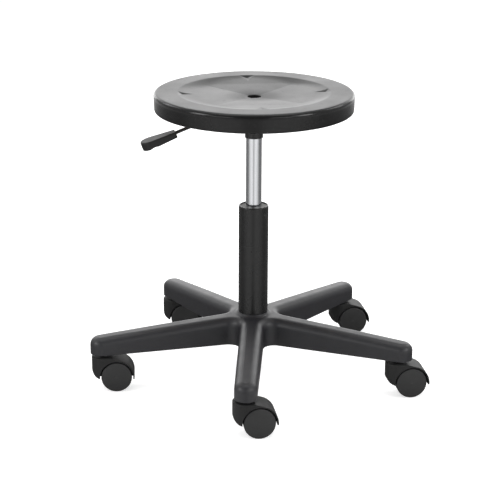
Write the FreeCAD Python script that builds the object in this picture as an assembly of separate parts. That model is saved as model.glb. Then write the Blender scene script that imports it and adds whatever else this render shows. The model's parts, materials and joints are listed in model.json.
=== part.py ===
import FreeCAD, Part
import math
import os

# Laboratory stool: dished round seat on a gas spring, five-arm star base on hooded twin-wheel casters.
# Millimetres, +Z up. The origin is on the floor, under the column's axis; one arm points along -Y.
# The seat is drawn at the top of its travel.

Vec = FreeCAD.Vector
UP = Vec(0, 0, 1)

# Seat
seat_top_z = 526.0          # height of the seat's rim above the floor
seat_d = 351.0              # at the rim
seat_thick = 32.5
seat_top_edge_r = 6.5
seat_bottom_edge_r = 3.5
seat_side_draw = 1.4        # how far the side wall leans in, down to its foot
vent_d = 24.0

# Dish in the seat's top: four sloping facets round a shallower four-sided floor
dish_d = 266.0
dish_sides = 4
dish_wall_deg = 22.0        # slope of the rounded wall between the rim and the facets
dish_turn_deg = 8.5
dish_edge_depth = 1.2       # depth at the middle of a facet's outer edge
dish_shelf_half = 84.0      # half width of the square where the slope changes
dish_shelf_depth = 5.5
dish_centre_depth = 9.2
dish_centre_half = 6.0      # half width of the floor's middle, inside the vent
notch_w = 22.0              # at a facet's outer edge
notch_depth = 4.6           # of a notch's level bottom line, below the seat's rim

# Seat board with its tee nuts and screws
board_d = 290.0
board_thick = 9.0
nut_flange_d = 18.0
nut_flange_thick = 1.5
nut_barrel_d = 8.0
screw_d = 5.8
screw_head_d = 12.0
screw_head_thick = 4.0
screw_head_edge_r = 1.3
screw_key_d = 5.0           # across the corners of the hexagon socket
screw_key_depth = 2.0
screw_clear = 0.3           # free length above a screw's end
screw_hole_play = 0.1

# Mounting plate and lever bracket
plate_w = 150.0
plate_thick = 3.0
plate_corner_r = 14.0
plate_access_d = 20.0
bolt_spacing = 120.0
bracket_inner_w = 30.0
bracket_wall = 2.5
bracket_h = 18.0
bracket_back = 24.0         # reach behind the column's axis
bracket_front = 40.0        # reach towards the lever's handle

# Taper socket
socket_d = 32.0
socket_length = 28.0
taper_top_d = 26.8          # gas spring's cone at its upper end

# Release lever
lever_deg = 194.0           # heading of the lever, seen from above
lever_arm = 24.0            # pivot to column axis
pivot_below_plate = 8.0
pin_d = 5.0
pin_head_d = 9.0
pin_head_thick = 1.5
boss_d = 10.0
boss_side_gap = 0.5
tongue_w = 10.0
tongue_thick = 4.0
tongue_past_axis = 6.0
rod_d = 6.0
rod_inner_length = 56.0     # pivot to the bend
rod_inner_dip_deg = 2.0
rod_outer_dip_deg = 20.5
handle_from_bend = 62.8
handle_length = 63.5
handle_inner_w = 22.8
handle_outer_w = 34.0
handle_inner_above = 3.9    # rod's axis to the top face, at the inner end
handle_inner_below = 6.3
handle_tip_above = 8.4
handle_tip_below = 7.6
handle_top_r = 2.6
handle_bottom_r = 1.2
handle_rod_depth = 36.0
scallop_r = 18.0            # finger recess under the handle
scallop_depth = 1.8
scallop_from_tip = 20.0

# Gas spring
height_stroke = 120.0
cylinder_d = 28.0
cylinder_wall = 1.6
cylinder_past_web = 1.0     # cone's end above the bracket's web
valve_block_length = 32.0
valve_d = 8.0
valve_length = 17.0
valve_edge_r = 1.0
valve_travel_room = 5.0
valve_lever_gap = 0.4
end_guide_length = 14.0
piston_length = 10.0
piston_gap = 2.0            # piston above the end guide at full height
piston_rod_d = 10.0
rod_tenon_d = 8.0
rod_head_length = 1.5

# Outer tube, guide bush and thrust bearing
tube_d = 53.0
tube_wall = 2.5
tube_top_z = 321.0
tube_bottom_z = 62.0
tube_foot_d = 51.0          # lower end of the tube's taper
tube_floor_thick = 3.0
tube_rim_r = 1.8            # rounding of the tube's upper rim
taper_above_hub = 2.0
crimp_count = 3             # dents that hold the guide bush
crimp_deg = 323.0
crimp_r = 6.0
crimp_depth = 1.0
crimp_below_top = 13.0
bush_length = 95.0
bush_recess = 1.5           # bush below the tube's rim
washer_d = 28.0
washer_thick = 2.5
ball_d = 4.0
ball_count = 10
ball_pitch_d = 20.0
cage_thick = 1.6
rod_shoulder_d = 18.0
rod_shoulder_thick = 6.0
buffer_d = 26.0
buffer_thick = 22.0
buffer_edge_r = 2.2
buffer_stop_gap = 0.5
clip_thick = 1.2
clip_d = 14.0
clip_mouth_w = 5.0
clip_groove_d = 6.4
clip_below_floor = 0.5
rod_end_below_clip = 2.0

# Star base
arm_count = 5
first_arm_deg = 198.0
base_r = 299.0              # column axis to an arm's tip
arm_bottom_z = 68.0
arm_tip_w = 39.0
arm_root_w = 42.5           # width of an arm's sides carried on to the axis
arm_tip_top_z = 97.0
hub_top_z = 121.8
hub_flare_r = 35.0          # where the arms' tops turn up to the column
hub_flare_top_z = 117.4
arm_crown = 0.6             # how far an arm's top bulges above its straight slope
hub_lip_r = 28.0
valley_r = 20.0             # concave corner between two arms
shoulder_r = 14.0
arm_wall = 4.0
arm_roof = 8.5
arm_chambers = 3
arm_rib = 3.0
chamber_inner_r = 58.0
stem_land = 52.0            # solid end of an arm, round the caster's stem
hub_ring_d = 66.0
hub_ring_h = 8.0

# Casters: headings of the five housings, as they happen to stand
caster_trail_deg = [6.0, 11.0, 11.0, 12.0, 0.0]
stem_inset = 25.0           # arm's tip to the stem's axis
stem_d = 10.8
stem_length = 22.0
stem_bore_depth = 24.0
stem_flange_d = 18.0
stem_flange_thick = 4.6
stem_pin_d = 8.0
stem_pin_length = 26.0
grip_groove_d = 9.2
grip_ring_w = 3.0
grip_ring_up = 11.0         # ring's lower side above the flange
grip_slit_w = 1.8
stem_tip_chamfer = 1.0
wheel_d = 54.5
wheel_w = 15.5
wheel_edge_r = 2.2
wheel_face_dome = 1.2
wheel_hub_d = 18.0
wheel_recess_depth = 8.0
wheel_rim_thick = 4.5
wheel_bore_depth = 12.0
web_w = 14.0
axle_d = 8.0
axle_boss_d = 18.0
axle_trail = 21.0           # stem axis to axle
hood_gap = 2.3              # wheel tread to hood
hood_thick = 2.4
hood_tip_drop = 3.0         # hood's trailing tip below the axle
hood_lead_r = 16.0          # round of the housing's leading foot
hood_lead_foot_up = 13.0    # where that round starts, above the axle
hood_edge_r = 2.0
crown_reach = 13.0          # flat top of the housing behind the stem

# Clearances
soft_gap = 0.3
push_fit = 0.02
running_fit = 0.05
side_play = 0.4
ball_play = 0.1
rod_play = 0.1
stem_fit = 0.1
cut_past = 2.0              # how far a cutting shape runs past the face it opens
tiny = 0.01

# Heights that follow from the sizes above
seat_bottom_z = seat_top_z - seat_thick
plate_bottom_z = seat_bottom_z - plate_thick
web_bottom_z = plate_bottom_z - bracket_h
web_top_z = web_bottom_z + bracket_wall
socket_bottom_z = web_bottom_z - socket_length
cylinder_top_z = web_top_z + cylinder_past_web
pivot_z = plate_bottom_z - pivot_below_plate
tongue_bottom_z = pivot_z - tongue_thick / 2
valve_top_z = tongue_bottom_z - valve_lever_gap
valve_bottom_z = valve_top_z - valve_length
block_bottom_z = cylinder_top_z - valve_block_length

tube_r = tube_d / 2
tube_bore_r = tube_r - tube_wall
floor_top_z = tube_bottom_z + tube_floor_thick
ball_bottom_z = floor_top_z + washer_thick + push_fit
upper_washer_z = ball_bottom_z + ball_d + push_fit
shoulder_z = upper_washer_z + washer_thick
shoulder_top_z = shoulder_z + rod_shoulder_thick
buffer_top_z = shoulder_top_z + buffer_thick
cylinder_bottom_z = buffer_top_z + buffer_stop_gap + height_stroke
guide_top_z = cylinder_bottom_z + end_guide_length
piston_z = guide_top_z + piston_gap
clip_top_z = tube_bottom_z - clip_below_floor
rod_bottom_z = clip_top_z - clip_thick - rod_end_below_clip

taper_start_z = hub_top_z + taper_above_hub
arm_tip_r = arm_tip_w / 2
arm_rise = (hub_flare_top_z - arm_tip_top_z) / (base_r - hub_flare_r)
stem_r = base_r - stem_inset
flange_bottom_z = arm_bottom_z - stem_flange_thick
housing_top_z = flange_bottom_z - side_play
wheel_r = wheel_d / 2
axle_z = wheel_r
caster_half_w = web_w / 2 + side_play + wheel_w
pocket_r = wheel_r + hood_gap
hood_r = pocket_r + hood_thick

arm_angles = [math.radians(first_arm_deg + 360.0 / arm_count * i) for i in range(arm_count)]
lever_heading = math.radians(lever_deg)

os.makedirs("parts", exist_ok=True)


def save(node, shape):
    """Write one node's solids to its own file."""
    shape.exportStep("parts/" + node + ".step")


def cylinder(radius, z_low, z_high, x=0.0, y=0.0):
    return Part.makeCylinder(radius, z_high - z_low, Vec(x, y, z_low))


def ring(outer_r, inner_r, z_low, z_high, x=0.0, y=0.0):
    return cylinder(outer_r, z_low, z_high, x, y).cut(cylinder(inner_r, z_low, z_high, x, y))


def cone(r_low, r_high, z_low, z_high):
    return Part.makeCone(r_low, r_high, z_high - z_low, Vec(0, 0, z_low))


def box(x_low, x_high, y_low, y_high, z_low, z_high):
    return Part.makeBox(x_high - x_low, y_high - y_low, z_high - z_low, Vec(x_low, y_low, z_low))


def rod_along_y(radius, y_low, y_high, x, z):
    return Part.makeCylinder(radius, y_high - y_low, Vec(x, y_low, z), Vec(0, 1, 0))


def line(a, b):
    return Part.LineSegment(a, b).toShape()


def arc(a, through, b):
    return Part.Arc(a, through, b).toShape()


def polar(radius, angle, z=0.0):
    return Vec(radius * math.cos(angle), radius * math.sin(angle), z)


def turned(shape, angle):
    """A copy turned about the column's axis by an angle in radians."""
    copy = shape.copy()
    copy.rotate(Vec(0, 0, 0), UP, math.degrees(angle))
    return copy


def along_lever(shape):
    """Turn a piece drawn with the lever along +X to the lever's heading."""
    return turned(shape, lever_heading)


def edges_where(shape, test):
    return [edge for edge in shape.Edges if test(edge)]


def edge_mid(edge):
    return edge.valueAt((edge.FirstParameter + edge.LastParameter) / 2)


def is_upright(edge):
    mid = edge_mid(edge)
    end = edge.Vertexes[0]
    return math.hypot(mid.x - end.X, mid.y - end.Y) < tiny


def rims_at(shape, z):
    """Closed edges of a turned shape at one height."""
    return edges_where(shape, lambda edge: edge.isClosed() and abs(edge_mid(edge).z - z) < tiny)


# Seat: cushion, board, tee nuts, screws


def square_at(half, depth):
    """Horizontal square wire at a depth below the seat's rim."""
    z = seat_top_z - depth
    corners = [Vec(half, half, z), Vec(-half, half, z), Vec(-half, -half, z), Vec(half, -half, z)]
    return Part.makePolygon(corners + corners[:1])


def dish_limit():
    """Cone that bounds the dish and its notches, widening up to the round rim."""
    slope = math.tan(math.radians(dish_wall_deg))
    low_r = dish_d / 2 - (dish_centre_depth + cut_past) / slope
    high_r = dish_d / 2 + cut_past / slope
    return cone(low_r, high_r, seat_top_z - dish_centre_depth - cut_past, seat_top_z + cut_past)


def dish_void():
    """Space above the dish's facets, inside its round rim."""
    facet_slope = (dish_shelf_depth - dish_edge_depth) / (dish_d / 2 - dish_shelf_half)
    open_half = dish_shelf_half + (dish_shelf_depth + cut_past) / facet_slope
    levels = [
        square_at(dish_centre_half, dish_centre_depth),
        square_at(dish_shelf_half, dish_shelf_depth),
        square_at(open_half, -cut_past),
    ]
    facets = turned(Part.makeLoft(levels, True, True), math.radians(dish_turn_deg))
    return facets.common(dish_limit())


def notch(index):
    """Vee groove at the middle of one facet's outer edge, running out towards the seat's centre."""
    steepness = (notch_depth - dish_edge_depth) / (notch_w / 2)
    open_half = (notch_depth + cut_past) / steepness
    high = seat_top_z + cut_past
    corners = [
        Vec(0, 0, seat_top_z - notch_depth),
        Vec(0, open_half, high),
        Vec(0, -open_half, high),
    ]
    groove = Part.Face(Part.makePolygon(corners + corners[:1])).extrude(Vec(dish_d, 0, 0))
    groove = groove.common(dish_limit()).cut(cylinder(dish_shelf_half, seat_bottom_z, high))
    return turned(groove, math.radians(dish_turn_deg + 360.0 / dish_sides * index))


def seat_cushion():
    """Moulded round cushion with a dished top, hollow below for the board."""
    body = cone(seat_d / 2 - seat_side_draw, seat_d / 2, seat_bottom_z, seat_top_z)
    body = body.makeFillet(seat_top_edge_r, rims_at(body, seat_top_z))
    body = body.makeFillet(seat_bottom_edge_r, rims_at(body, seat_bottom_z))
    board_room = cylinder(board_d / 2 + soft_gap, seat_bottom_z, seat_bottom_z + board_thick + soft_gap)
    cuts = [dish_void(), board_room, cylinder(vent_d / 2, seat_bottom_z, seat_top_z)]
    cuts += [notch(index) for index in range(dish_sides)]
    return body.cut(cuts).removeSplitter()


def bolt_places():
    half = bolt_spacing / 2
    return [(half, half), (-half, half), (-half, -half), (half, -half)]


def seat_board():
    top = seat_bottom_z + board_thick
    cuts = [cylinder(vent_d / 2, seat_bottom_z, top)]
    for x, y in bolt_places():
        cuts.append(cylinder(nut_barrel_d / 2 + push_fit, seat_bottom_z, top, x, y))
        cuts.append(cylinder(nut_flange_d / 2 + push_fit, top - nut_flange_thick, top, x, y))
    return along_lever(cylinder(board_d / 2, seat_bottom_z, top).cut(cuts))


def tee_nuts():
    top = seat_bottom_z + board_thick
    nuts = []
    for x, y in bolt_places():
        flange = cylinder(nut_flange_d / 2, top - nut_flange_thick, top, x, y)
        barrel = cylinder(nut_barrel_d / 2, seat_bottom_z, top, x, y)
        nuts.append(flange.fuse(barrel).cut(cylinder(screw_d / 2 + push_fit, seat_bottom_z, top, x, y)))
    return along_lever(Part.Compound(nuts))


def plate_screws():
    screws = []
    for x, y in bolt_places():
        shank = cylinder(screw_d / 2, plate_bottom_z, seat_bottom_z + board_thick - screw_clear, x, y)
        face_z = plate_bottom_z - screw_head_thick
        head = cylinder(screw_head_d / 2, face_z, plate_bottom_z, x, y)
        head = head.makeFillet(screw_head_edge_r, rims_at(head, face_z))
        corners = [Vec(x, y, face_z) + polar(screw_key_d / 2, math.pi / 3 * k) for k in range(7)]
        key = Part.Face(Part.makePolygon(corners)).extrude(UP * screw_key_depth)
        screws.append(shank.fuse(head.cut(key)))
    return along_lever(Part.Compound(screws))


# Mounting plate, lever bracket, taper socket


def mounting_plate():
    half = plate_w / 2
    plate = box(-half, half, -half, half, plate_bottom_z, seat_bottom_z)
    plate = plate.makeFillet(plate_corner_r, edges_where(plate, is_upright))
    hole_r = screw_d / 2 + screw_hole_play
    cuts = [cylinder(plate_access_d / 2, plate_bottom_z, seat_bottom_z)]
    cuts += [cylinder(hole_r, plate_bottom_z, seat_bottom_z, x, y) for x, y in bolt_places()]
    return along_lever(plate.cut(cuts))


def lever_bracket():
    """Channel under the plate: two walls for the lever's pin, a web for the socket."""
    inner = bracket_inner_w / 2
    outer = inner + bracket_wall
    channel = box(-bracket_back, bracket_front, -outer, outer, web_bottom_z, plate_bottom_z)
    cuts = [
        box(-bracket_back, bracket_front, -inner, inner, web_top_z, plate_bottom_z),
        cylinder(cone_r_at(web_bottom_z) + running_fit, web_bottom_z, web_top_z),
        rod_along_y(pin_d / 2 + push_fit, -outer, outer, lever_arm, pivot_z),
    ]
    return along_lever(channel.cut(cuts))


def cone_r_at(z):
    """Radius of the gas spring's upper cone at a height."""
    share = (z - socket_bottom_z) / (cylinder_top_z - socket_bottom_z)
    return cylinder_d / 2 + (taper_top_d - cylinder_d) / 2 * share


def taper_socket():
    tube = cylinder(socket_d / 2, socket_bottom_z, web_bottom_z)
    bore = cone(
        cone_r_at(socket_bottom_z) + push_fit, cone_r_at(web_bottom_z) + push_fit,
        socket_bottom_z, web_bottom_z,
    )
    return tube.cut(bore)


# Release lever


def lever_pin():
    half = bracket_inner_w / 2 + bracket_wall
    pin = rod_along_y(pin_d / 2, -half, half, lever_arm, pivot_z)
    for side in (-half - pin_head_thick, half):
        pin = pin.fuse(rod_along_y(pin_head_d / 2, side, side + pin_head_thick, lever_arm, pivot_z))
    return along_lever(pin.removeSplitter())


def dipping(degrees):
    """Direction along +X that falls by an angle."""
    return Vec(math.cos(math.radians(degrees)), 0, -math.sin(math.radians(degrees)))


def lever_bend():
    """Point where the rod turns down towards the handle, drawn with the lever along +X."""
    return Vec(lever_arm, 0, pivot_z) + dipping(rod_inner_dip_deg) * rod_inner_length


def lever_rod():
    pivot = Vec(lever_arm, 0, pivot_z)
    bend = lever_bend()
    half_boss = bracket_inner_w / 2 - boss_side_gap
    boss = rod_along_y(boss_d / 2, -half_boss, half_boss, lever_arm, pivot_z)
    tongue = box(
        -tongue_past_axis, lever_arm, -tongue_w / 2, tongue_w / 2,
        tongue_bottom_z, tongue_bottom_z + tongue_thick,
    )
    outer_length = handle_from_bend + handle_rod_depth
    inner_rod = Part.makeCylinder(rod_d / 2, rod_inner_length, pivot, dipping(rod_inner_dip_deg))
    knee = Part.makeSphere(rod_d / 2, bend)
    outer_rod = Part.makeCylinder(rod_d / 2, outer_length, bend, dipping(rod_outer_dip_deg))
    pin_bore = rod_along_y(pin_d / 2 + running_fit, -half_boss, half_boss, lever_arm, pivot_z)
    return along_lever(boss.fuse([tongue, inner_rod, knee, outer_rod]).cut(pin_bore))


def handle_plan(z):
    """Plan of the paddle at a height, wider outwards, with a round tip."""
    inner = handle_inner_w / 2
    tip_r = handle_outer_w / 2
    straight = handle_length - tip_r
    return Part.Face(Part.Wire([
        line(Vec(0, -inner, z), Vec(straight, -tip_r, z)),
        arc(Vec(straight, -tip_r, z), Vec(handle_length, 0, z), Vec(straight, tip_r, z)),
        line(Vec(straight, tip_r, z), Vec(0, inner, z)),
        line(Vec(0, inner, z), Vec(0, -inner, z)),
    ]))


def handle_side(y):
    """Side view of the paddle, which grows thicker towards its tip."""
    corners = [
        Vec(0, y, -handle_inner_below),
        Vec(handle_length, y, -handle_tip_below),
        Vec(handle_length, y, handle_tip_above),
        Vec(0, y, handle_inner_above),
    ]
    return Part.Face(Part.makePolygon(corners + corners[:1]))


def lever_handle():
    """Paddle on the rod's end, with a finger recess below; drawn along the rod, then tilted to its dip."""
    half = handle_outer_w / 2
    paddle = handle_plan(-handle_tip_below).extrude(UP * (handle_tip_below + handle_tip_above))
    paddle = paddle.common(handle_side(-half).extrude(Vec(0, 2 * half, 0)))

    def on_top(edge):
        mid = edge_mid(edge)
        return mid.x > tiny and mid.z > 0 and not is_upright(edge)

    def on_underside(edge):
        mid = edge_mid(edge)
        return mid.x > tiny and mid.z < -handle_inner_below and not is_upright(edge)

    paddle = paddle.makeFillet(handle_top_r, edges_where(paddle, on_top))
    paddle = paddle.makeFillet(handle_bottom_r, edges_where(paddle, on_underside))
    scallop_x = handle_length - scallop_from_tip
    low_slope = (handle_tip_below - handle_inner_below) / handle_length
    scallop_z = -handle_inner_below - low_slope * scallop_x + scallop_depth - scallop_r
    scallop = rod_along_y(scallop_r, -handle_outer_w, handle_outer_w, scallop_x, scallop_z)
    bore = Part.makeCylinder(rod_d / 2 + push_fit, handle_rod_depth + push_fit, Vec(0, 0, 0), Vec(1, 0, 0))
    paddle = paddle.cut([scallop, bore])
    paddle.rotate(Vec(0, 0, 0), Vec(0, 1, 0), rod_outer_dip_deg)
    paddle.translate(lever_bend() + dipping(rod_outer_dip_deg) * handle_from_bend)
    return along_lever(paddle)


# Gas spring


def pressure_cylinder():
    """Chromed cylinder with a tapered closed end that holds the valve."""
    r = cylinder_d / 2
    body = cylinder(r, cylinder_bottom_z, socket_bottom_z)
    body = body.fuse(cone(r, taper_top_d / 2, socket_bottom_z, cylinder_top_z))
    bore = cylinder(r - cylinder_wall, cylinder_bottom_z, block_bottom_z)
    valve_bore = cylinder(
        valve_d / 2 + running_fit, valve_bottom_z - valve_travel_room, cylinder_top_z,
    )
    return body.cut([bore, valve_bore])


def cylinder_end_guide():
    return ring(
        cylinder_d / 2 - cylinder_wall - push_fit, piston_rod_d / 2 + running_fit,
        cylinder_bottom_z, guide_top_z,
    )


def valve_button():
    button = cylinder(valve_d / 2, valve_bottom_z, valve_top_z)
    return button.makeFillet(valve_edge_r, rims_at(button, valve_top_z))


def piston():
    return ring(
        cylinder_d / 2 - cylinder_wall - running_fit, rod_tenon_d / 2 + push_fit,
        piston_z, piston_z + piston_length,
    )


def piston_rod():
    """Rod from the clip under the tube's floor up to the piston."""
    pieces = [
        cylinder(rod_tenon_d / 2, rod_bottom_z, shoulder_z),
        cylinder(rod_shoulder_d / 2, shoulder_z, shoulder_top_z),
        cylinder(piston_rod_d / 2, shoulder_top_z, piston_z),
        cylinder(rod_tenon_d / 2, piston_z, piston_z + piston_length + rod_head_length),
    ]
    rod = pieces[0].fuse(pieces[1:])
    groove = ring(rod_tenon_d, clip_groove_d / 2, clip_top_z - clip_thick - push_fit, clip_top_z + push_fit)
    return rod.cut(groove).removeSplitter()


def retaining_clip():
    bore_r = clip_groove_d / 2 + push_fit
    disc = ring(clip_d / 2, bore_r, clip_top_z - clip_thick, clip_top_z)
    mouth = box(0, clip_d, -clip_mouth_w / 2, clip_mouth_w / 2, clip_top_z - clip_thick, clip_top_z)
    return disc.cut(mouth)


def rubber_buffer():
    pad = cylinder(buffer_d / 2, shoulder_top_z, buffer_top_z)
    pad = pad.makeFillet(buffer_edge_r, rims_at(pad, shoulder_top_z) + rims_at(pad, buffer_top_z))
    return pad.cut(cylinder(piston_rod_d / 2 + soft_gap, shoulder_top_z, buffer_top_z))


# Outer tube, guide bush, thrust bearing


def tube_outer_r_at(z):
    share = (taper_start_z - z) / (taper_start_z - tube_bottom_z)
    return tube_r - (tube_d - tube_foot_d) / 2 * share


def outer_tube():
    """Column tube with a rounded rim, crimps below it, a tapered foot and a floor."""
    body = cylinder(tube_r, taper_start_z, tube_top_z)
    body = body.makeFillet(tube_rim_r, rims_at(body, tube_top_z))
    body = body.fuse(cone(tube_foot_d / 2, tube_r, tube_bottom_z, taper_start_z))
    cuts = [
        cylinder(tube_bore_r, floor_top_z, tube_top_z),
        cylinder(rod_tenon_d / 2 + rod_play, tube_bottom_z, floor_top_z),
    ]
    for index in range(crimp_count):
        angle = math.radians(crimp_deg + 360.0 / crimp_count * index)
        centre = polar(tube_r + crimp_r - crimp_depth, angle, tube_top_z - crimp_below_top)
        cuts.append(Part.makeSphere(crimp_r, centre))
    return body.cut(cuts)


def guide_bush():
    bush_top_z = tube_top_z - bush_recess
    return ring(
        tube_bore_r - push_fit, cylinder_d / 2 + running_fit, bush_top_z - bush_length, bush_top_z,
    )


def thrust_lower_washer():
    return ring(washer_d / 2, rod_tenon_d / 2 + rod_play, floor_top_z, floor_top_z + washer_thick)


def thrust_upper_washer():
    return ring(washer_d / 2, rod_tenon_d / 2 + push_fit, upper_washer_z, shoulder_z)


def ball_places():
    return [polar(ball_pitch_d / 2, 2 * math.pi * k / ball_count) for k in range(ball_count)]


def ball_cage():
    mid_z = ball_bottom_z + ball_d / 2
    low, high = mid_z - cage_thick / 2, mid_z + cage_thick / 2
    cage = ring(washer_d / 2, rod_tenon_d / 2 + soft_gap, low, high)
    return cage.cut([cylinder(ball_d / 2 + ball_play, low, high, at.x, at.y) for at in ball_places()])


def thrust_balls():
    lift = UP * (ball_bottom_z + ball_d / 2)
    return Part.Compound([Part.makeSphere(ball_d / 2, at + lift) for at in ball_places()])


# Star base


def star_outline():
    """Plan outline of the base: round tips, near-parallel sides, concave corners between the arms."""
    tip_centre = base_r - arm_tip_r
    half_root = arm_root_w / 2
    reach = math.hypot(half_root, tip_centre)
    lean = math.acos(arm_tip_r / reach) - math.atan2(tip_centre, half_root)
    side_offset = half_root * math.cos(lean)
    half_step = math.pi / arm_count
    valley_centre = (valley_r + side_offset) / math.sin(half_step + lean)
    tip_x = tip_centre + arm_tip_r * math.sin(lean)
    tip_y = arm_tip_r * math.cos(lean)
    root_x = valley_centre * math.cos(half_step) - valley_r * math.sin(lean)
    root_y = valley_centre * math.sin(half_step) - valley_r * math.cos(lean)
    edges = []
    for index, angle in enumerate(arm_angles):
        following = arm_angles[(index + 1) % arm_count]

        def at(x, y, heading=angle):
            return polar(math.hypot(x, y), heading + math.atan2(y, x), arm_bottom_z)

        edges.append(arc(at(tip_x, -tip_y), at(base_r, 0), at(tip_x, tip_y)))
        edges.append(line(at(tip_x, tip_y), at(root_x, root_y)))
        corner = polar(valley_centre - valley_r, angle + half_step, arm_bottom_z)
        edges.append(arc(at(root_x, root_y), corner, at(root_x, -root_y, following)))
        edges.append(line(at(root_x, -root_y, following), at(tip_x, -tip_y, following)))
    return Part.Face(Part.Wire(edges))


def arm_top_z(radius):
    """Height of the arms' straight slope, below its crown."""
    return arm_tip_top_z + arm_rise * (base_r - radius)


def top_limit():
    """Turned solid whose upper side is the arms' crowned slope and the flare round the column."""
    beyond = base_r + valley_r
    slope_end = Vec(beyond, 0, arm_top_z(beyond))
    flare_start = Vec(hub_flare_r, 0, hub_flare_top_z)
    flare_end = Vec(hub_lip_r, 0, hub_top_z)
    slope = flare_start - slope_end
    crest = (slope_end + flare_start) * 0.5 + Vec(slope.z, 0, -slope.x).normalize() * arm_crown
    inner_lean = math.atan(arm_rise) - 2 * math.atan(2 * arm_crown / slope.Length)
    chord = flare_end - flare_start
    sag = chord.Length / 2 * math.tan((math.atan2(chord.z, -chord.x) - inner_lean) / 2)
    through = (flare_start + flare_end) * 0.5 - Vec(chord.z, 0, -chord.x).normalize() * sag
    low_axis = Vec(0, 0, arm_bottom_z)
    high_axis = Vec(0, 0, hub_top_z)
    outline = Part.Wire([
        line(low_axis, Vec(beyond, 0, arm_bottom_z)),
        line(Vec(beyond, 0, arm_bottom_z), slope_end),
        arc(slope_end, crest, flare_start),
        arc(flare_start, through, flare_end),
        line(flare_end, high_axis),
        line(high_axis, low_axis),
    ])
    return Part.Face(outline).revolve(Vec(0, 0, 0), UP, 360)


def arm_chamber(index):
    """One hollow on the underside of an arm that points along +X."""
    outer_r = base_r - stem_land
    length = (outer_r - chamber_inner_r - arm_rib * (arm_chambers - 1)) / arm_chambers
    start = chamber_inner_r + index * (length + arm_rib)
    end = start + length
    half = arm_tip_r - arm_wall
    corners = [
        Vec(start, -half, arm_bottom_z),
        Vec(end, -half, arm_bottom_z),
        Vec(end, -half, arm_top_z(end) - arm_roof),
        Vec(start, -half, arm_top_z(start) - arm_roof),
    ]
    return Part.Face(Part.makePolygon(corners + corners[:1])).extrude(Vec(0, 2 * half, 0))


def star_base():
    body = star_outline().extrude(UP * (hub_top_z - arm_bottom_z)).common(top_limit())

    def on_shoulder(edge):
        mid = edge_mid(edge)
        outside = math.hypot(mid.x, mid.y) > hub_flare_r + tiny
        return outside and mid.z > arm_bottom_z + tiny and not is_upright(edge)

    body = body.makeFillet(shoulder_r, edges_where(body, on_shoulder))
    bore_low = tube_outer_r_at(arm_bottom_z) + push_fit
    bore_high = tube_outer_r_at(hub_top_z) + push_fit
    cuts = [
        cone(bore_low, bore_high, arm_bottom_z, hub_top_z),
        cylinder(hub_ring_d / 2 + push_fit, arm_bottom_z, arm_bottom_z + hub_ring_h),
    ]
    stem_bore = cylinder(stem_d / 2 + stem_fit, arm_bottom_z, arm_bottom_z + stem_bore_depth, stem_r)
    for angle in arm_angles:
        cuts.append(turned(stem_bore, angle))
        cuts += [turned(arm_chamber(index), angle) for index in range(arm_chambers)]
    return body.cut(cuts)


def hub_ring():
    body = cylinder(hub_ring_d / 2, arm_bottom_z, arm_bottom_z + hub_ring_h)
    bore = cone(
        tube_outer_r_at(arm_bottom_z) + push_fit, tube_outer_r_at(arm_bottom_z + hub_ring_h) + push_fit,
        arm_bottom_z, arm_bottom_z + hub_ring_h,
    )
    return body.cut(bore)


# Casters, drawn with the stem on the Z axis and the wheels trailing along +X


def caster_stem():
    """Fixed pin: upper part in the arm, flange under it, lower part carries the housing."""
    ring_z = arm_bottom_z + grip_ring_up
    upper = cylinder(stem_d / 2, arm_bottom_z, arm_bottom_z + stem_length)
    upper = upper.makeChamfer(stem_tip_chamfer, rims_at(upper, arm_bottom_z + stem_length))
    flange = cylinder(stem_flange_d / 2, flange_bottom_z, arm_bottom_z)
    lower = cylinder(stem_pin_d / 2, flange_bottom_z - stem_pin_length, flange_bottom_z)
    groove = ring(stem_d, grip_groove_d / 2, ring_z - push_fit, ring_z + grip_ring_w + push_fit)
    return upper.fuse([flange, lower]).cut(groove).removeSplitter()


def caster_grip_ring():
    """Split spring ring in the stem's groove."""
    ring_z = arm_bottom_z + grip_ring_up
    band = ring(stem_d / 2 + stem_fit - push_fit, grip_groove_d / 2 + push_fit, ring_z, ring_z + grip_ring_w)
    slit = box(0, stem_d, -grip_slit_w / 2, grip_slit_w / 2, ring_z, ring_z + grip_ring_w)
    return band.cut(slit)


def housing_profile():
    """Side view of the housing: leading column, flat crown, hood down to its trailing tip."""
    lead_z = axle_z + hood_lead_foot_up
    nose_x = -caster_half_w
    lead_centre_x = nose_x + hood_lead_r
    bend = math.sin(math.pi / 4)
    tip_z = axle_z - hood_tip_drop
    crown = Vec(crown_reach, 0, housing_top_z)
    axle = Vec(axle_trail, 0, axle_z)
    to_crown = crown - axle
    tangent_angle = math.atan2(to_crown.z, to_crown.x) - math.acos(hood_r / to_crown.Length)
    touch = axle + Vec(math.cos(tangent_angle), 0, math.sin(tangent_angle)) * hood_r
    hood_mid = axle + Vec(math.cos(tangent_angle / 2), 0, math.sin(tangent_angle / 2)) * hood_r
    hood_end = Vec(axle_trail + hood_r, 0, axle_z)
    foot = Vec(lead_centre_x, 0, lead_z - hood_lead_r)
    edges = [
        line(Vec(nose_x, 0, housing_top_z), crown),
        line(crown, touch),
        arc(touch, hood_mid, hood_end),
        line(hood_end, Vec(axle_trail + hood_r, 0, tip_z)),
        line(Vec(axle_trail + hood_r, 0, tip_z), foot),
        arc(
            foot,
            Vec(lead_centre_x - hood_lead_r * bend, 0, lead_z - hood_lead_r * bend),
            Vec(nose_x, 0, lead_z),
        ),
        line(Vec(nose_x, 0, lead_z), Vec(nose_x, 0, housing_top_z)),
    ]
    return Part.Face(Part.Wire(edges))


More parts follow.
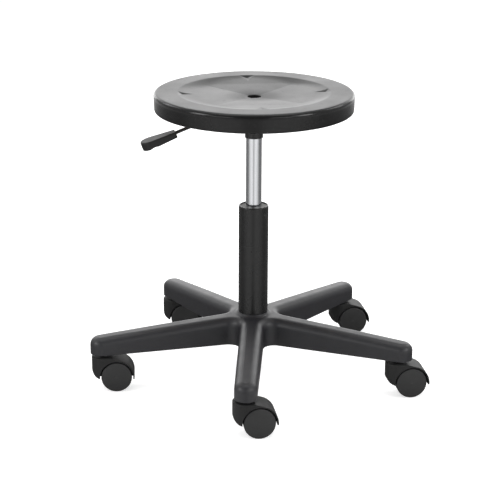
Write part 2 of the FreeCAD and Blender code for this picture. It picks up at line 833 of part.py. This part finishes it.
def caster_housing():
    """Hood over both wheels, hung on a middle web; round about the stem, seen from above."""
    half = caster_half_w
    block = housing_profile()
    block.translate(Vec(0, -half, 0))
    block = block.extrude(Vec(0, 2 * half, 0))
    plan = cylinder(half, 0, housing_top_z)
    plan = plan.fuse(box(0, axle_trail + hood_r, -half, half, 0, housing_top_z))
    block = block.common(plan)

    def on_crown(edge):
        mid = edge_mid(edge)
        return mid.z > housing_top_z - tiny and mid.x < crown_reach - tiny

    block = block.makeFillet(hood_edge_r, edges_where(block, on_crown))
    block = block.fuse(rod_along_y(axle_boss_d / 2, -web_w / 2, web_w / 2, axle_trail, axle_z))
    cuts = [
        rod_along_y(pocket_r, web_w / 2, half, axle_trail, axle_z),
        rod_along_y(pocket_r, -half, -web_w / 2, axle_trail, axle_z),
        rod_along_y(axle_d / 2 + push_fit, -half, half, axle_trail, axle_z),
        cylinder(
            stem_pin_d / 2 + running_fit,
            flange_bottom_z - stem_pin_length - side_play, housing_top_z,
        ),
    ]
    return block.cut(cuts)


def caster_axle():
    half = web_w / 2 + wheel_bore_depth
    return rod_along_y(axle_d / 2, -half, half, axle_trail, axle_z)


def caster_wheel(side):
    """One wheel, on the housing's left (+1) or right (-1) as it trails."""
    inner = web_w / 2 + side_play
    face = inner + wheel_w - wheel_face_dome
    hub_end = inner + wheel_bore_depth
    hub_r = wheel_hub_d / 2
    rim_r = wheel_r - wheel_rim_thick
    recess = inner + wheel_recess_depth
    bore_r = axle_d / 2 + running_fit
    bend = math.sin(math.pi / 4)
    flat = face - wheel_edge_r
    edge_mid_point = Vec(wheel_r - wheel_edge_r * (1 - bend), flat + wheel_edge_r * bend, 0)
    dome_r = wheel_r - wheel_edge_r
    sphere_r = (dome_r ** 2 + wheel_face_dome ** 2) / (2 * wheel_face_dome)
    dome_mid_y = face + wheel_face_dome - sphere_r + math.sqrt(sphere_r ** 2 - (dome_r / 2) ** 2)
    outline = Part.Wire([
        line(Vec(0, hub_end, 0), Vec(bore_r, hub_end, 0)),
        line(Vec(bore_r, hub_end, 0), Vec(bore_r, inner, 0)),
        line(Vec(bore_r, inner, 0), Vec(hub_r, inner, 0)),
        line(Vec(hub_r, inner, 0), Vec(hub_r, recess, 0)),
        line(Vec(hub_r, recess, 0), Vec(rim_r, recess, 0)),
        line(Vec(rim_r, recess, 0), Vec(rim_r, inner, 0)),
        line(Vec(rim_r, inner, 0), Vec(wheel_r, inner, 0)),
        line(Vec(wheel_r, inner, 0), Vec(wheel_r, flat, 0)),
        arc(Vec(wheel_r, flat, 0), edge_mid_point, Vec(dome_r, face, 0)),
        arc(Vec(dome_r, face, 0), Vec(dome_r / 2, dome_mid_y, 0), Vec(0, face + wheel_face_dome, 0)),
        line(Vec(0, face + wheel_face_dome, 0), Vec(0, hub_end, 0)),
    ])
    wheel = Part.Face(outline).revolve(Vec(0, 0, 0), Vec(0, 1, 0), 360)
    if side < 0:
        wheel.rotate(Vec(0, 0, 0), UP, 180)
    wheel.translate(Vec(axle_trail, 0, axle_z))
    return wheel


def on_arm(shape, arm_angle, heading_deg):
    """Move a caster piece from the Z axis to its arm and turn it to its heading."""
    piece = turned(shape, math.radians(heading_deg))
    piece.translate(polar(stem_r, arm_angle))
    return piece


# All nodes

save("seat_cushion", seat_cushion())
save("seat_board", seat_board())
save("tee_nuts", tee_nuts())
save("plate_screws", plate_screws())
save("mounting_plate", mounting_plate())
save("lever_bracket", lever_bracket())
save("taper_socket", taper_socket())
save("lever_pin", lever_pin())
save("lever_rod", lever_rod())
save("lever_handle", lever_handle())
save("pressure_cylinder", pressure_cylinder())
save("cylinder_end_guide", cylinder_end_guide())
save("valve_button", valve_button())
save("piston", piston())
save("piston_rod", piston_rod())
save("retaining_clip", retaining_clip())
save("rubber_buffer", rubber_buffer())
save("outer_tube", outer_tube())
save("guide_bush", guide_bush())
save("thrust_lower_washer", thrust_lower_washer())
save("thrust_upper_washer", thrust_upper_washer())
save("ball_cage", ball_cage())
save("thrust_balls", thrust_balls())
save("star_base", star_base())
save("hub_ring", hub_ring())

caster_pieces = {
    "stem": caster_stem(),
    "grip_ring": caster_grip_ring(),
    "housing": caster_housing(),
    "axle": caster_axle(),
    "wheel_left": caster_wheel(1),
    "wheel_right": caster_wheel(-1),
}
for number, (angle, heading) in enumerate(zip(arm_angles, caster_trail_deg), start=1):
    for name, piece in caster_pieces.items():
        save(f"caster_{number}_{name}", on_arm(piece, angle, heading))
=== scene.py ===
import json
import math

import bpy
import numpy as np
from mathutils import Matrix, Vector


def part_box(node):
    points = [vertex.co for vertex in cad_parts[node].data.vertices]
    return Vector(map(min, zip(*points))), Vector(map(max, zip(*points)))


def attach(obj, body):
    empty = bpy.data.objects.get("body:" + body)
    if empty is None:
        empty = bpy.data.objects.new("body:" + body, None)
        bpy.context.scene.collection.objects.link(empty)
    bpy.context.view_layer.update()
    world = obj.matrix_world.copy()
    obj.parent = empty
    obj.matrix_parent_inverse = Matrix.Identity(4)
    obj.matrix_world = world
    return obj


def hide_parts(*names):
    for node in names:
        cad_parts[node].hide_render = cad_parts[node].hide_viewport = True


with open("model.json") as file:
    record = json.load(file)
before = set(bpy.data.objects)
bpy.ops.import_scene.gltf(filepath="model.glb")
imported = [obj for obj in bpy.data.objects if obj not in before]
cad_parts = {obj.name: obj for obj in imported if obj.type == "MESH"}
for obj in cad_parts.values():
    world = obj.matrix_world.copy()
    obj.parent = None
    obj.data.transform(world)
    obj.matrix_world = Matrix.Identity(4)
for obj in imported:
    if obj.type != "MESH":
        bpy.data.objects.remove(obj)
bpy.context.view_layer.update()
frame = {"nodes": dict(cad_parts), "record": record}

# Laboratory stool: the moulded seat as a smooth mesh, procedural finishes, a pale studio and the camera.
# Metres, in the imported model's frame: +Z up, one arm of the base along -Y.

MM = 0.001

# Seat cushion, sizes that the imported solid's box doesn't give
SEAT_RIM_R = 175.5 * MM
SIDE_DRAW = 1.4 * MM            # how far the side wall leans in, down to its foot
VENT_R = 12.0 * MM
VENT_EDGE_R = 0.9 * MM
TOP_EDGE_R = 6.5 * MM
BOTTOM_EDGE_R = 3.5 * MM
DISH_R = 133.0 * MM
DISH_TURN = math.radians(8.5)
DISH_WALL_SLOPE = 0.2           # of the bowl's wall between the rim and the facets' corners
DISH_WALL_SOFT = 1.4 * MM       # depth over which that wall blends into the facets
DISH_EDGE_DEPTH = 0.8 * MM
DISH_SHELF_HALF = 84.0 * MM     # half width of the square where the facets' slope changes
DISH_SHELF_DEPTH = 4.8 * MM
DISH_CENTRE_DEPTH = 9.2 * MM
DISH_RIM_SOFT = 0.5 * MM        # depth over which the wall blends into the rim
DISH_RIM_WIDTH = 3.0 * MM       # how far past the dish's rim that blend reaches
CREASE_SOFT = 1.2 * MM          # width over which two facets blend
NOTCH_W = 22.0 * MM             # of a vee notch at a facet's outer edge
NOTCH_DEPTH = 3.2 * MM          # of its level bottom line
NOTCH_SOFT = 0.4 * MM
NOTCH_WALL_SLOPE = math.tan(math.radians(22.0))
BOARD_GAP = 0.3 * MM
MOULD_WAVE = 0.12 * MM          # slow unevenness of the moulded skin
WAVE_TURNS_X = 55.0             # its phase per metre
WAVE_TURNS_Y = 47.0
FLOW_MARKS_R = 55.0 * MM        # how far flow marks show round the vent
RING_POINTS = 720

# Camera
CAMERA_AT = Vector((115.6, -2845.9, 1174.4)) * MM
CAMERA_PAN = math.radians(-2.447)
CAMERA_PITCH = math.radians(-18.231)
CAMERA_ROLL = math.radians(0.295)
CAMERA_LENS = 120.60            # mm on a 36 mm sensor
CAMERA_SENSOR = 36.0

# Studio
FLOOR_HALF = 9.0
FLOOR_SPLITS = 8
FLOOR_GLOW = 0.55               # added for the camera alone
# Floor colours seen only in the stool's gloss: painted light on the floor to both sides ahead and far behind,
# painted shade straight ahead and just behind
FLOOR_PAINTED_SHADE_AHEAD = 0.50       # painted shade straight ahead, in the floor as the stool's gloss sees it
FLOOR_PAINTED_LIGHT_FRONT = 0.78
FLOOR_PAINTED_SHADE_BACK = 0.15
FLOOR_PAINTED_LIGHT_FAR = 0.70         # painted light far behind the stool
FLOOR_FAR_FROM = 1.9
FLOOR_FAR_TO = 2.4
MIDDLE = (0.0, 0.0, 0.3)        # what the large softboxes face
SEAT = (0.0, 0.0, 0.52)         # what the small ones face


# Node helpers


def node(tree, kind, settings=None, **inputs):
    """A shader node with its settings and inputs; an input is a constant or another node's output."""
    made = tree.nodes.new("ShaderNode" + kind)
    for name, value in (settings or {}).items():
        setattr(made, name, value)
    for name, value in inputs.items():
        connect(tree, made.inputs[name.replace("_", " ")], value)
    return made


def connect(tree, socket, value):
    """Link an output to a socket, or set the socket's constant."""
    if isinstance(value, bpy.types.NodeSocket):
        tree.links.new(value, socket)
    else:
        socket.default_value = value


def calculate(tree, operation, *values):
    """Output of a Math node."""
    made = node(tree, "Math", {"operation": operation})
    for socket, value in zip(made.inputs, values):
        connect(tree, socket, value)
    return made.outputs["Value"]


def spread(tree, value, low, high, to_low=0.0, to_high=1.0):
    """Output of a Map Range node, clamped."""
    made = node(tree, "MapRange", Value=value, From_Min=low, From_Max=high, To_Min=to_low, To_Max=to_high)
    return made.outputs["Result"]


def blend_colour(tree, share, a, b):
    """Output of a colour Mix node: a at share 0, b at share 1."""
    made = node(tree, "Mix", {"data_type": "RGBA"})
    connect(tree, made.inputs[0], share)
    connect(tree, made.inputs[6], a)
    connect(tree, made.inputs[7], b)
    return made.outputs[2]


def grey(level, blue=1.0):
    """A neutral colour, or a cool one with blue above 1."""
    return (level, level, level * blue, 1.0)


def shade(colour, factor):
    """The same colour, lighter or darker."""
    return tuple(c * factor for c in colour[:3]) + (1.0,)


def place(tree):
    """A point's own place on its piece, in metres."""
    return node(tree, "TexCoord").outputs["Object"]


def stretched(tree, x, y, z):
    """Places with each axis multiplied by its own number."""
    return node(tree, "Mapping", Vector=place(tree), Scale=(x, y, z)).outputs["Vector"]


def noise(tree, size, detail=2.0, roughness=0.5, vector=None):
    """Noise between 0 and 1 whose blobs are about this many metres across."""
    made = node(
        tree, "TexNoise", Vector=vector or place(tree), Scale=1.0 / size, Detail=detail, Roughness=roughness
    )
    return made.outputs["Fac"]


def pebbles(tree, size):
    """Distance field of a fine pebble grain of that size."""
    made = node(tree, "TexVoronoi", {"feature": "SMOOTH_F1"}, Vector=place(tree), Scale=1.0 / size)
    return made.outputs["Distance"]


def dot(tree, a, b):
    """Output of a dot product."""
    made = node(tree, "VectorMath", {"operation": "DOT_PRODUCT"})
    connect(tree, made.inputs[0], a)
    connect(tree, made.inputs[1], b)
    return made.outputs["Value"]


def length(tree, vector):
    """Output of a vector's length."""
    made = node(tree, "VectorMath", {"operation": "LENGTH"})
    connect(tree, made.inputs[0], vector)
    return made.outputs["Value"]


def soft_edge_normal(tree, radius):
    """Normal as if the piece's edges were rounded by that radius."""
    return node(tree, "Bevel", {"samples": 4}, Radius=radius).outputs["Normal"]


def edge_share(tree, normal):
    """1 on a piece's edges, where the rounded normal leaves the face's own."""
    face_normal = node(tree, "NewGeometry").outputs["Normal"]
    return spread(tree, dot(tree, normal, face_normal), 0.995, 0.90)


def bump(tree, height, depth, normal):
    """Normal roughened by a height between 0 and 1, that many metres deep."""
    made = node(tree, "Bump", Strength=1.0, Distance=depth, Height=height, Normal=normal)
    return made.outputs["Normal"]


def new_material(name):
    """An empty material: itself, its node tree and its surface node."""
    material = bpy.data.materials.new(name)
    material.use_nodes = True
    tree = material.node_tree
    tree.nodes.clear()
    surface = node(tree, "BsdfPrincipled")
    output = node(tree, "OutputMaterial")
    tree.links.new(surface.outputs["BSDF"], output.inputs["Surface"])
    return material, tree, surface


def finish_surface(tree, surface, **inputs):
    """Set the surface node's inputs by name."""
    for name, value in inputs.items():
        connect(tree, surface.inputs[name.replace("_", " ")], value)


# Finishes


def moulded_plastic(name, colour, rough, grain, grain_depth, edge=0.6 * MM, wear=2.2, gloss=0.5):
    """Injection-moulded plastic: eroded-mould grain, slow mottling, edges rubbed lighter and smoother."""
    material, tree, surface = new_material(name)
    normal = soft_edge_normal(tree, edge)
    edges = edge_share(tree, normal)
    mottle = noise(tree, 28 * MM, detail=3.0)
    scuffs = spread(tree, noise(tree, 6 * MM, detail=6.0, roughness=0.7), 0.58, 0.75)
    base = blend_colour(tree, mottle, shade(colour, 0.82), shade(colour, 1.18))
    base = blend_colour(tree, calculate(tree, "MULTIPLY", edges, 0.55), base, shade(colour, wear))
    roughness = spread(tree, mottle, 0.25, 0.75, rough - 0.05, rough + 0.05)
    roughness = calculate(tree, "SUBTRACT", roughness, calculate(tree, "MULTIPLY", edges, 0.08))
    roughness = calculate(tree, "ADD", roughness, calculate(tree, "MULTIPLY", scuffs, 0.05))
    grained = bump(tree, noise(tree, grain, detail=3.0, roughness=0.6), grain_depth, normal)
    finish_surface(
        tree, surface, Base_Color=base, Roughness=roughness, Normal=grained, Specular_IOR_Level=gloss
    )
    return material


def seat_skin(name):
    """Self-skinned foam: near black, satin on top with flow marks round the vent, glossier at the side."""
    material, tree, surface = new_material(name)
    normal = node(tree, "NewGeometry").outputs["Normal"]
    mottle = noise(tree, 60 * MM, detail=4.0)
    scuffs = spread(tree, noise(tree, 9 * MM, detail=7.0, roughness=0.72), 0.56, 0.74)
    angle = node(tree, "TexGradient", {"gradient_type": "RADIAL"}, Vector=place(tree)).outputs["Fac"]
    rays = node(tree, "TexNoise", {"noise_dimensions": "1D"}, W=angle, Scale=120.0, Detail=2.0).outputs["Fac"]
    from_axis = length(tree, stretched(tree, 1.0, 1.0, 0.0))
    near_vent = spread(tree, from_axis, FLOW_MARKS_R, VENT_R + 2 * MM)
    flow = calculate(tree, "MULTIPLY", rays, near_vent)
    base = blend_colour(tree, mottle, grey(0.007), grey(0.011))
    base = blend_colour(tree, calculate(tree, "MULTIPLY", scuffs, 0.25), base, grey(0.028))
    facing = node(tree, "SeparateXYZ", Vector=normal).outputs["Z"]
    on_top = spread(tree, facing, 0.6, 0.95)
    roughness = spread(tree, mottle, 0.3, 0.7, 0.15, 0.21)
    roughness = calculate(tree, "ADD", roughness, calculate(tree, "MULTIPLY", on_top, 0.19))
    roughness = calculate(tree, "ADD", roughness, calculate(tree, "MULTIPLY", flow, 0.16))
    roughness = calculate(tree, "ADD", roughness, calculate(tree, "MULTIPLY", scuffs, 0.08))
    grained = bump(tree, pebbles(tree, 1.1 * MM), 0.02 * MM, normal)
    finish_surface(
        tree, surface, Base_Color=base, Roughness=roughness, Normal=grained, Specular_IOR_Level=0.3
    )
    return material


def painted_steel(name, level=0.012, rough=0.26):
    """Black powder paint: fine orange peel, edges a little thin."""
    material, tree, surface = new_material(name)
    normal = soft_edge_normal(tree, 0.4 * MM)
    edges = edge_share(tree, normal)
    mottle = noise(tree, 35 * MM, detail=3.0)
    base = blend_colour(tree, mottle, grey(level * 0.85), grey(level * 1.2))
    base = blend_colour(tree, calculate(tree, "MULTIPLY", edges, 0.4), base, grey(level * 3.5))
    roughness = spread(tree, mottle, 0.3, 0.7, rough - 0.03, rough + 0.05)
    peel = bump(tree, noise(tree, 2.2 * MM, detail=1.0), 0.02 * MM, normal)
    finish_surface(
        tree, surface, Base_Color=base, Roughness=roughness, Normal=peel, Specular_IOR_Level=0.4
    )
    return material


def bare_metal(name, colour, rough, line_size, line_depth, around=True):
    """Metal with fine working lines: round the piece's own turning axis, or grained the other way."""
    material, tree, surface = new_material(name)
    normal = soft_edge_normal(tree, 0.3 * MM)
    lines_at = stretched(tree, 0.02, 0.02, 1.0) if around else stretched(tree, 1.0, 1.0, 0.05)
    lines = noise(tree, line_size, detail=2.0, vector=lines_at)
    smudge = noise(tree, 18 * MM, detail=4.0, roughness=0.6)
    base = blend_colour(tree, smudge, shade(colour, 0.9), colour)
    roughness = spread(tree, smudge, 0.3, 0.75, rough * 0.8, rough * 1.35)
    scored = bump(tree, lines, line_depth, normal)
    finish_surface(tree, surface, Base_Color=base, Metallic=1.0, Roughness=roughness, Normal=scored)
    return material


def plywood(name):
    """Birch plywood: long fibre grain on the faces, stacked veneers at the edge."""
    material, tree, surface = new_material(name)
    fibre = noise(tree, 1.2 * MM, detail=5.0, roughness=0.6, vector=stretched(tree, 0.06, 1.0, 1.0))
    figure = noise(tree, 25 * MM, detail=2.0, vector=stretched(tree, 0.25, 1.0, 1.0))
    height = node(tree, "SeparateXYZ", Vector=place(tree)).outputs["Z"]
    layer = calculate(tree, "PINGPONG", height, 1.5 * MM)
    veneer = spread(tree, layer, 0.6 * MM, 0.9 * MM)
    base = blend_colour(tree, fibre, (0.42, 0.27, 0.14, 1.0), (0.62, 0.45, 0.27, 1.0))
    base = blend_colour(tree, calculate(tree, "MULTIPLY", figure, 0.4), base, (0.70, 0.53, 0.34, 1.0))
    base = blend_colour(tree, calculate(tree, "MULTIPLY", veneer, 0.35), base, (0.30, 0.18, 0.09, 1.0))
    roughness = spread(tree, fibre, 0.2, 0.8, 0.55, 0.75)
    normal = node(tree, "NewGeometry").outputs["Normal"]
    grained = bump(tree, fibre, 0.05 * MM, normal)
    finish_surface(tree, surface, Base_Color=base, Roughness=roughness, Normal=grained)
    return material


MATERIALS = {
    "seat_skin": seat_skin("seat_skin"),
    "plywood": plywood("plywood"),
    "black_steel": painted_steel("black_steel"),
    "zinc_steel": bare_metal("zinc_steel", (0.52, 0.54, 0.57, 1.0), 0.34, 0.5 * MM, 0.01 * MM),
    "bearing_steel": bare_metal("bearing_steel", (0.60, 0.60, 0.62, 1.0), 0.16, 0.3 * MM, 0.004 * MM),
    "chrome": bare_metal("chrome", (0.78, 0.79, 0.81, 1.0), 0.13, 0.35 * MM, 0.004 * MM),
    "light_alloy": bare_metal("light_alloy", (0.68, 0.69, 0.70, 1.0), 0.30, 0.4 * MM, 0.01 * MM),
    "handle_plastic": moulded_plastic("handle_plastic", grey(0.011), 0.50, 0.7 * MM, 0.03 * MM, gloss=0.32),
    "bush_plastic": moulded_plastic("bush_plastic", grey(0.060), 0.50, 0.6 * MM, 0.02 * MM),
    "natural_nylon": moulded_plastic(
        "natural_nylon", (0.70, 0.67, 0.60, 1.0), 0.45, 0.8 * MM, 0.02 * MM, wear=1.2
    ),
    "buffer_rubber": moulded_plastic("buffer_rubber", grey(0.015), 0.70, 0.5 * MM, 0.03 * MM),
    "base_nylon": moulded_plastic("base_nylon", grey(0.018, 1.15), 0.45, 1.2 * MM, 0.05 * MM, edge=1.0 * MM),
    "caster_nylon": moulded_plastic("caster_nylon", grey(0.017), 0.54, 0.7 * MM, 0.03 * MM, gloss=0.25),
    "wheel_nylon": moulded_plastic("wheel_nylon", grey(0.022), 0.55, 0.6 * MM, 0.03 * MM, edge=0.8 * MM),
}


def dress_nodes():
    """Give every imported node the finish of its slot."""
    for part in frame["record"]["subparts"]:
        mesh = frame["nodes"][part["node"]].data
        mesh.materials.clear()
        mesh.materials.append(MATERIALS[part["material_slot"]])


# Seat cushion


def ease(value, low, high):
    """Smooth step from 0 at low to 1 at high."""
    t = np.clip((value - low) / (high - low), 0.0, 1.0)
    return t * t * (3.0 - 2.0 * t)


def soft_largest(a, b, width):
    """The larger of two fields, rounded over where they meet."""
    share = np.clip(0.5 + 0.5 * (a - b) / width, 0.0, 1.0)
    return b + (a - b) * share + width * share * (1.0 - share)


def soft_smallest(a, b, width):
    """The smaller of two fields, rounded over where they meet."""
    return -soft_largest(-a, -b, width)


def dish_depth(x, y):
    """Depth of the seat's top below its rim."""
    turned_x = np.abs(x * math.cos(DISH_TURN) + y * math.sin(DISH_TURN))
    turned_y = np.abs(y * math.cos(DISH_TURN) - x * math.sin(DISH_TURN))
    reach = soft_largest(turned_x, turned_y, CREASE_SOFT)
    outer_slope = (DISH_SHELF_DEPTH - DISH_EDGE_DEPTH) / (DISH_R - DISH_SHELF_HALF)
    inner_slope = (DISH_CENTRE_DEPTH - DISH_SHELF_DEPTH) / DISH_SHELF_HALF
    past_shelf = reach - DISH_SHELF_HALF
    facet = DISH_SHELF_DEPTH - soft_largest(
        past_shelf * outer_slope, past_shelf * inner_slope, CREASE_SOFT * outer_slope
    )
    notch_slope = (NOTCH_DEPTH - DISH_EDGE_DEPTH) / (NOTCH_W / 2)
    notch = NOTCH_DEPTH - np.minimum(turned_x, turned_y) * notch_slope
    inside = DISH_R - np.hypot(x, y)
    depth = soft_smallest(facet, inside * DISH_WALL_SLOPE, DISH_WALL_SOFT)
    notch = soft_smallest(notch, inside * NOTCH_WALL_SLOPE, NOTCH_SOFT)
    depth = soft_largest(depth, notch, NOTCH_SOFT)
    depth = soft_largest(depth, np.zeros_like(depth), DISH_RIM_SOFT)
    wave = MOULD_WAVE * np.sin(x * WAVE_TURNS_X + 0.6) * np.sin(y * WAVE_TURNS_Y - 0.3)
    return depth + wave


def between(start, end, steps):
    """Even steps from start on, the end left out."""
    return [start + (end - start) * k / steps for k in range(steps)]


def rounded_edge(lean, slope, edge_r, centre_z, from_angle, to_angle, steps):
    """Places on a rounding tangent to the leaning side wall: radius and height."""
    centre_r = lean - edge_r * math.hypot(1.0, slope)
    turns = between(from_angle, to_angle, steps)
    return [(centre_r + edge_r * math.cos(a), centre_z + edge_r * math.sin(a)) for a in turns]


def cushion_rings(low, top, board_r, board_top):
    """Rings round the cushion's section, from the vent outwards and back: radius, height, share of the dish."""
    rings = []
    for angle in between(0.0, math.pi / 2, 5):
        drop = VENT_EDGE_R * (1.0 - math.sin(angle))
        rings.append((VENT_R + VENT_EDGE_R * (1.0 - math.cos(angle)), top - drop, 1.0))
    slope = SIDE_DRAW / (top - low)
    side_angle = -math.atan(slope)
    upper_r = SEAT_RIM_R - TOP_EDGE_R * slope
    lower_r = SEAT_RIM_R - (top - low - BOTTOM_EDGE_R) * slope
    upper = rounded_edge(upper_r, slope, TOP_EDGE_R, top - TOP_EDGE_R, math.pi / 2, side_angle, 10)
    lower = rounded_edge(lower_r, slope, BOTTOM_EDGE_R, low + BOTTOM_EDGE_R, side_angle, -math.pi / 2, 6)
    shelf_corner_r = DISH_SHELF_HALF * math.sqrt(2.0)
    flat_to = [VENT_R + VENT_EDGE_R, DISH_SHELF_HALF, shelf_corner_r, DISH_R + DISH_RIM_WIDTH, upper[0][0]]
    for start, end, steps in zip(flat_to, flat_to[1:], (10, 26, 24, 6)):
        rings += [(radius, top, 1.0) for radius in between(start, end, steps)]
    side_top, side_low = upper[-1][1], lower[0][1]
    for radius, height in upper:
        rings.append((radius, height, ease(height, side_top, top)))
    for height in between(side_top, side_low, 6)[1:]:
        rings.append((SEAT_RIM_R - (top - height) * slope, height, 0.0))
    rings += [(radius, height, 0.0) for radius, height in lower]
    recess_r = board_r + BOARD_GAP
    recess_top = board_top + BOARD_GAP
    rings.append((lower_r - BOTTOM_EDGE_R, low, 0.0))
    rings.append((recess_r + BOARD_GAP, low, 0.0))
    rings.append((recess_r, low + BOARD_GAP, 0.0))
    rings.append((recess_r, recess_top, 0.0))
    rings.append(((recess_r + VENT_R) / 2, recess_top, 0.0))
    rings.append((VENT_R, recess_top, 0.0))
    return rings


def make_cushion():
    """The moulded cushion as one closed mesh round the column's axis."""
    low_corner, high_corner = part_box("seat_cushion")
    board_low, board_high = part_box("seat_board")
    board_r = (board_high.x - board_low.x) / 2
    rings = cushion_rings(low_corner.z, high_corner.z, board_r, board_high.z)
    angles = np.arange(RING_POINTS) * (2.0 * math.pi / RING_POINTS)
    points = []
    for radius, height, share in rings:
        x = radius * np.cos(angles)
        y = radius * np.sin(angles)
        points.append(np.stack([x, y, height - share * dish_depth(x, y)], axis=1))
    count = len(rings)
    faces = []
    for ring in range(count):
        here = ring * RING_POINTS
        there = (ring + 1) % count * RING_POINTS
        for k in range(RING_POINTS):
            after = (k + 1) % RING_POINTS
            faces.append((here + k, there + k, there + after, here + after))
    mesh = bpy.data.meshes.new("cushion_skin")
    mesh.from_pydata(np.concatenate(points).tolist(), [], faces)
    mesh.validate()
    mesh.shade_smooth()
    mesh.materials.append(MATERIALS["seat_skin"])
    cushion = bpy.data.objects.new("cushion_skin", mesh)
    bpy.context.scene.collection.objects.link(cushion)
    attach(cushion, "seat")
    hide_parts("seat_cushion")


# Studio


def floor_material():
    """Pale floor, white to the camera; in the stool's gloss it carries painted light to both sides ahead and
    far behind, painted shade straight ahead and just behind.
    """
    material, tree, surface = new_material("studio_floor")
    speckle = noise(tree, 4 * MM, detail=3.0)
    base = blend_colour(tree, speckle, grey(0.86), grey(0.89))
    heading = node(tree, "VectorMath", {"operation": "NORMALIZE"})
    connect(tree, heading.inputs[0], place(tree))
    # Painted light and shade of the floor, seen only in reflections: lit to both sides ahead and far behind,
    # shaded straight ahead and just behind
    towards_front = dot(tree, heading.outputs["Vector"], (0.0, -1.0, 0.0))
    painted_light_front = spread(tree, towards_front, 0.1, 0.85)
    painted_shade_ahead = spread(tree, towards_front, 0.97, 0.995)
    far = spread(tree, length(tree, place(tree)), FLOOR_FAR_FROM, FLOOR_FAR_TO)
    painted_floor_light = blend_colour(tree, far, grey(FLOOR_PAINTED_SHADE_BACK), grey(FLOOR_PAINTED_LIGHT_FAR))
    painted_floor_light = blend_colour(tree, painted_light_front, painted_floor_light, grey(FLOOR_PAINTED_LIGHT_FRONT))
    painted_floor_light = blend_colour(tree, painted_shade_ahead, painted_floor_light, grey(FLOOR_PAINTED_SHADE_AHEAD))
    path = node(tree, "LightPath").outputs
    # Glossy rays see the painted floor light and shade instead of the floor's own colour
    base = blend_colour(tree, path["Is Glossy Ray"], base, painted_floor_light)
    glow = calculate(tree, "MULTIPLY", path["Is Camera Ray"], FLOOR_GLOW)
    finish_surface(
        tree, surface, Base_Color=base, Roughness=0.8, Specular_IOR_Level=0.1,
        Emission_Color=grey(1.0), Emission_Strength=glow,
    )
    return material


def make_floor():
    """Flat floor under the wheels, split so that its shading stays even."""
    ticks = [FLOOR_HALF * (2 * k / FLOOR_SPLITS - 1) for k in range(FLOOR_SPLITS + 1)]
    points = [(x, y, 0.0) for y in ticks for x in ticks]
    width = FLOOR_SPLITS + 1
    faces = []
    for row in range(FLOOR_SPLITS):
        for column in range(FLOOR_SPLITS):
            corner = row * width + column
            faces.append((corner, corner + 1, corner + width + 1, corner + width))
    mesh = bpy.data.meshes.new("studio_floor")
    mesh.from_pydata(points, [], faces)
    mesh.materials.append(floor_material())
    floor = bpy.data.objects.new("studio_floor", mesh)
    bpy.context.scene.collection.objects.link(floor)


def softbox(name, at, target, width, height, power):
    """A rectangular area lamp that faces a point, in metres and watts."""
    lamp = bpy.data.lights.new(name, "AREA")
    lamp.shape = "RECTANGLE"
    lamp.size = width
    lamp.size_y = height
    lamp.energy = power
    holder = bpy.data.objects.new(name, lamp)
    holder.location = at
    holder.rotation_mode = "QUATERNION"
    holder.rotation_quaternion = (Vector(target) - Vector(at)).to_track_quat("-Z", "Y")
    bpy.context.scene.collection.objects.link(holder)


def softbox_pair(name, at, target, width, height, power):
    """One softbox on the right and its mirror image on the left."""
    x, y, z = at
    softbox("left_" + name, (-x, y, z), target, width, height, power)
    softbox("right_" + name, (x, y, z), target, width, height, power)


def light_room():
    """Room that lights the stool from its far side and is dark behind the camera; white to the camera."""
    world = bpy.data.worlds.new("studio_world")
    world.use_nodes = True
    tree = world.node_tree
    tree.nodes.clear()
    direction = node(tree, "TexCoord").outputs["Generated"]
    ahead = node(tree, "SeparateXYZ", Vector=direction).outputs["Y"]
    level = blend_colour(tree, spread(tree, ahead, -0.75, 0.15), grey(0.10), grey(0.62))
    level = blend_colour(tree, node(tree, "LightPath").outputs["Is Camera Ray"], level, grey(1.0))
    background = node(tree, "Background", Color=level, Strength=1.0)
    output = node(tree, "OutputWorld")
    tree.links.new(background.outputs["Background"], output.inputs["Surface"])
    bpy.context.scene.world = world


def light_stool():
    """Large softboxes all round, low narrow ones in front and two behind for the seat's edge."""
    softbox_pair("box", at=(2.6, -1.4, 1.5), target=MIDDLE, width=0.9, height=1.8, power=31.0)
    softbox("back_box", at=(0.0, 3.4, 1.1), target=MIDDLE, width=5.0, height=1.9, power=64.0)
    softbox("top_box", at=(0.0, 0.2, 3.2), target=MIDDLE, width=2.6, height=2.0, power=28.0)
    softbox_pair("front_box", at=(1.75, -2.6, 1.05), target=SEAT, width=1.5, height=0.3, power=14.0)
    softbox_pair("rim_box", at=(2.15, 1.4, 2.05), target=SEAT, width=0.5, height=1.0, power=9.0)


def make_camera():
    """Camera at the photo's angle."""
    data = bpy.data.cameras.new("camera")
    data.sensor_width = CAMERA_SENSOR
    data.lens = CAMERA_LENS
    camera = bpy.data.objects.new("camera", data)
    ahead = Vector((
        math.sin(CAMERA_PAN) * math.cos(CAMERA_PITCH),
        math.cos(CAMERA_PAN) * math.cos(CAMERA_PITCH),
        math.sin(CAMERA_PITCH),
    ))
    level = Vector((math.cos(CAMERA_PAN), -math.sin(CAMERA_PAN), 0.0))
    over = level.cross(ahead)
    right = level * math.cos(CAMERA_ROLL) + over * math.sin(CAMERA_ROLL)
    up = over * math.cos(CAMERA_ROLL) - level * math.sin(CAMERA_ROLL)
    turn = Matrix((right, up, -ahead)).transposed()
    camera.matrix_world = Matrix.Translation(CAMERA_AT) @ turn.to_4x4()
    bpy.context.scene.collection.objects.link(camera)
    bpy.context.scene.camera = camera


dress_nodes()
make_cushion()
make_floor()
light_room()
light_stool()
make_camera()
bpy.context.scene.view_settings.view_transform = "Standard"
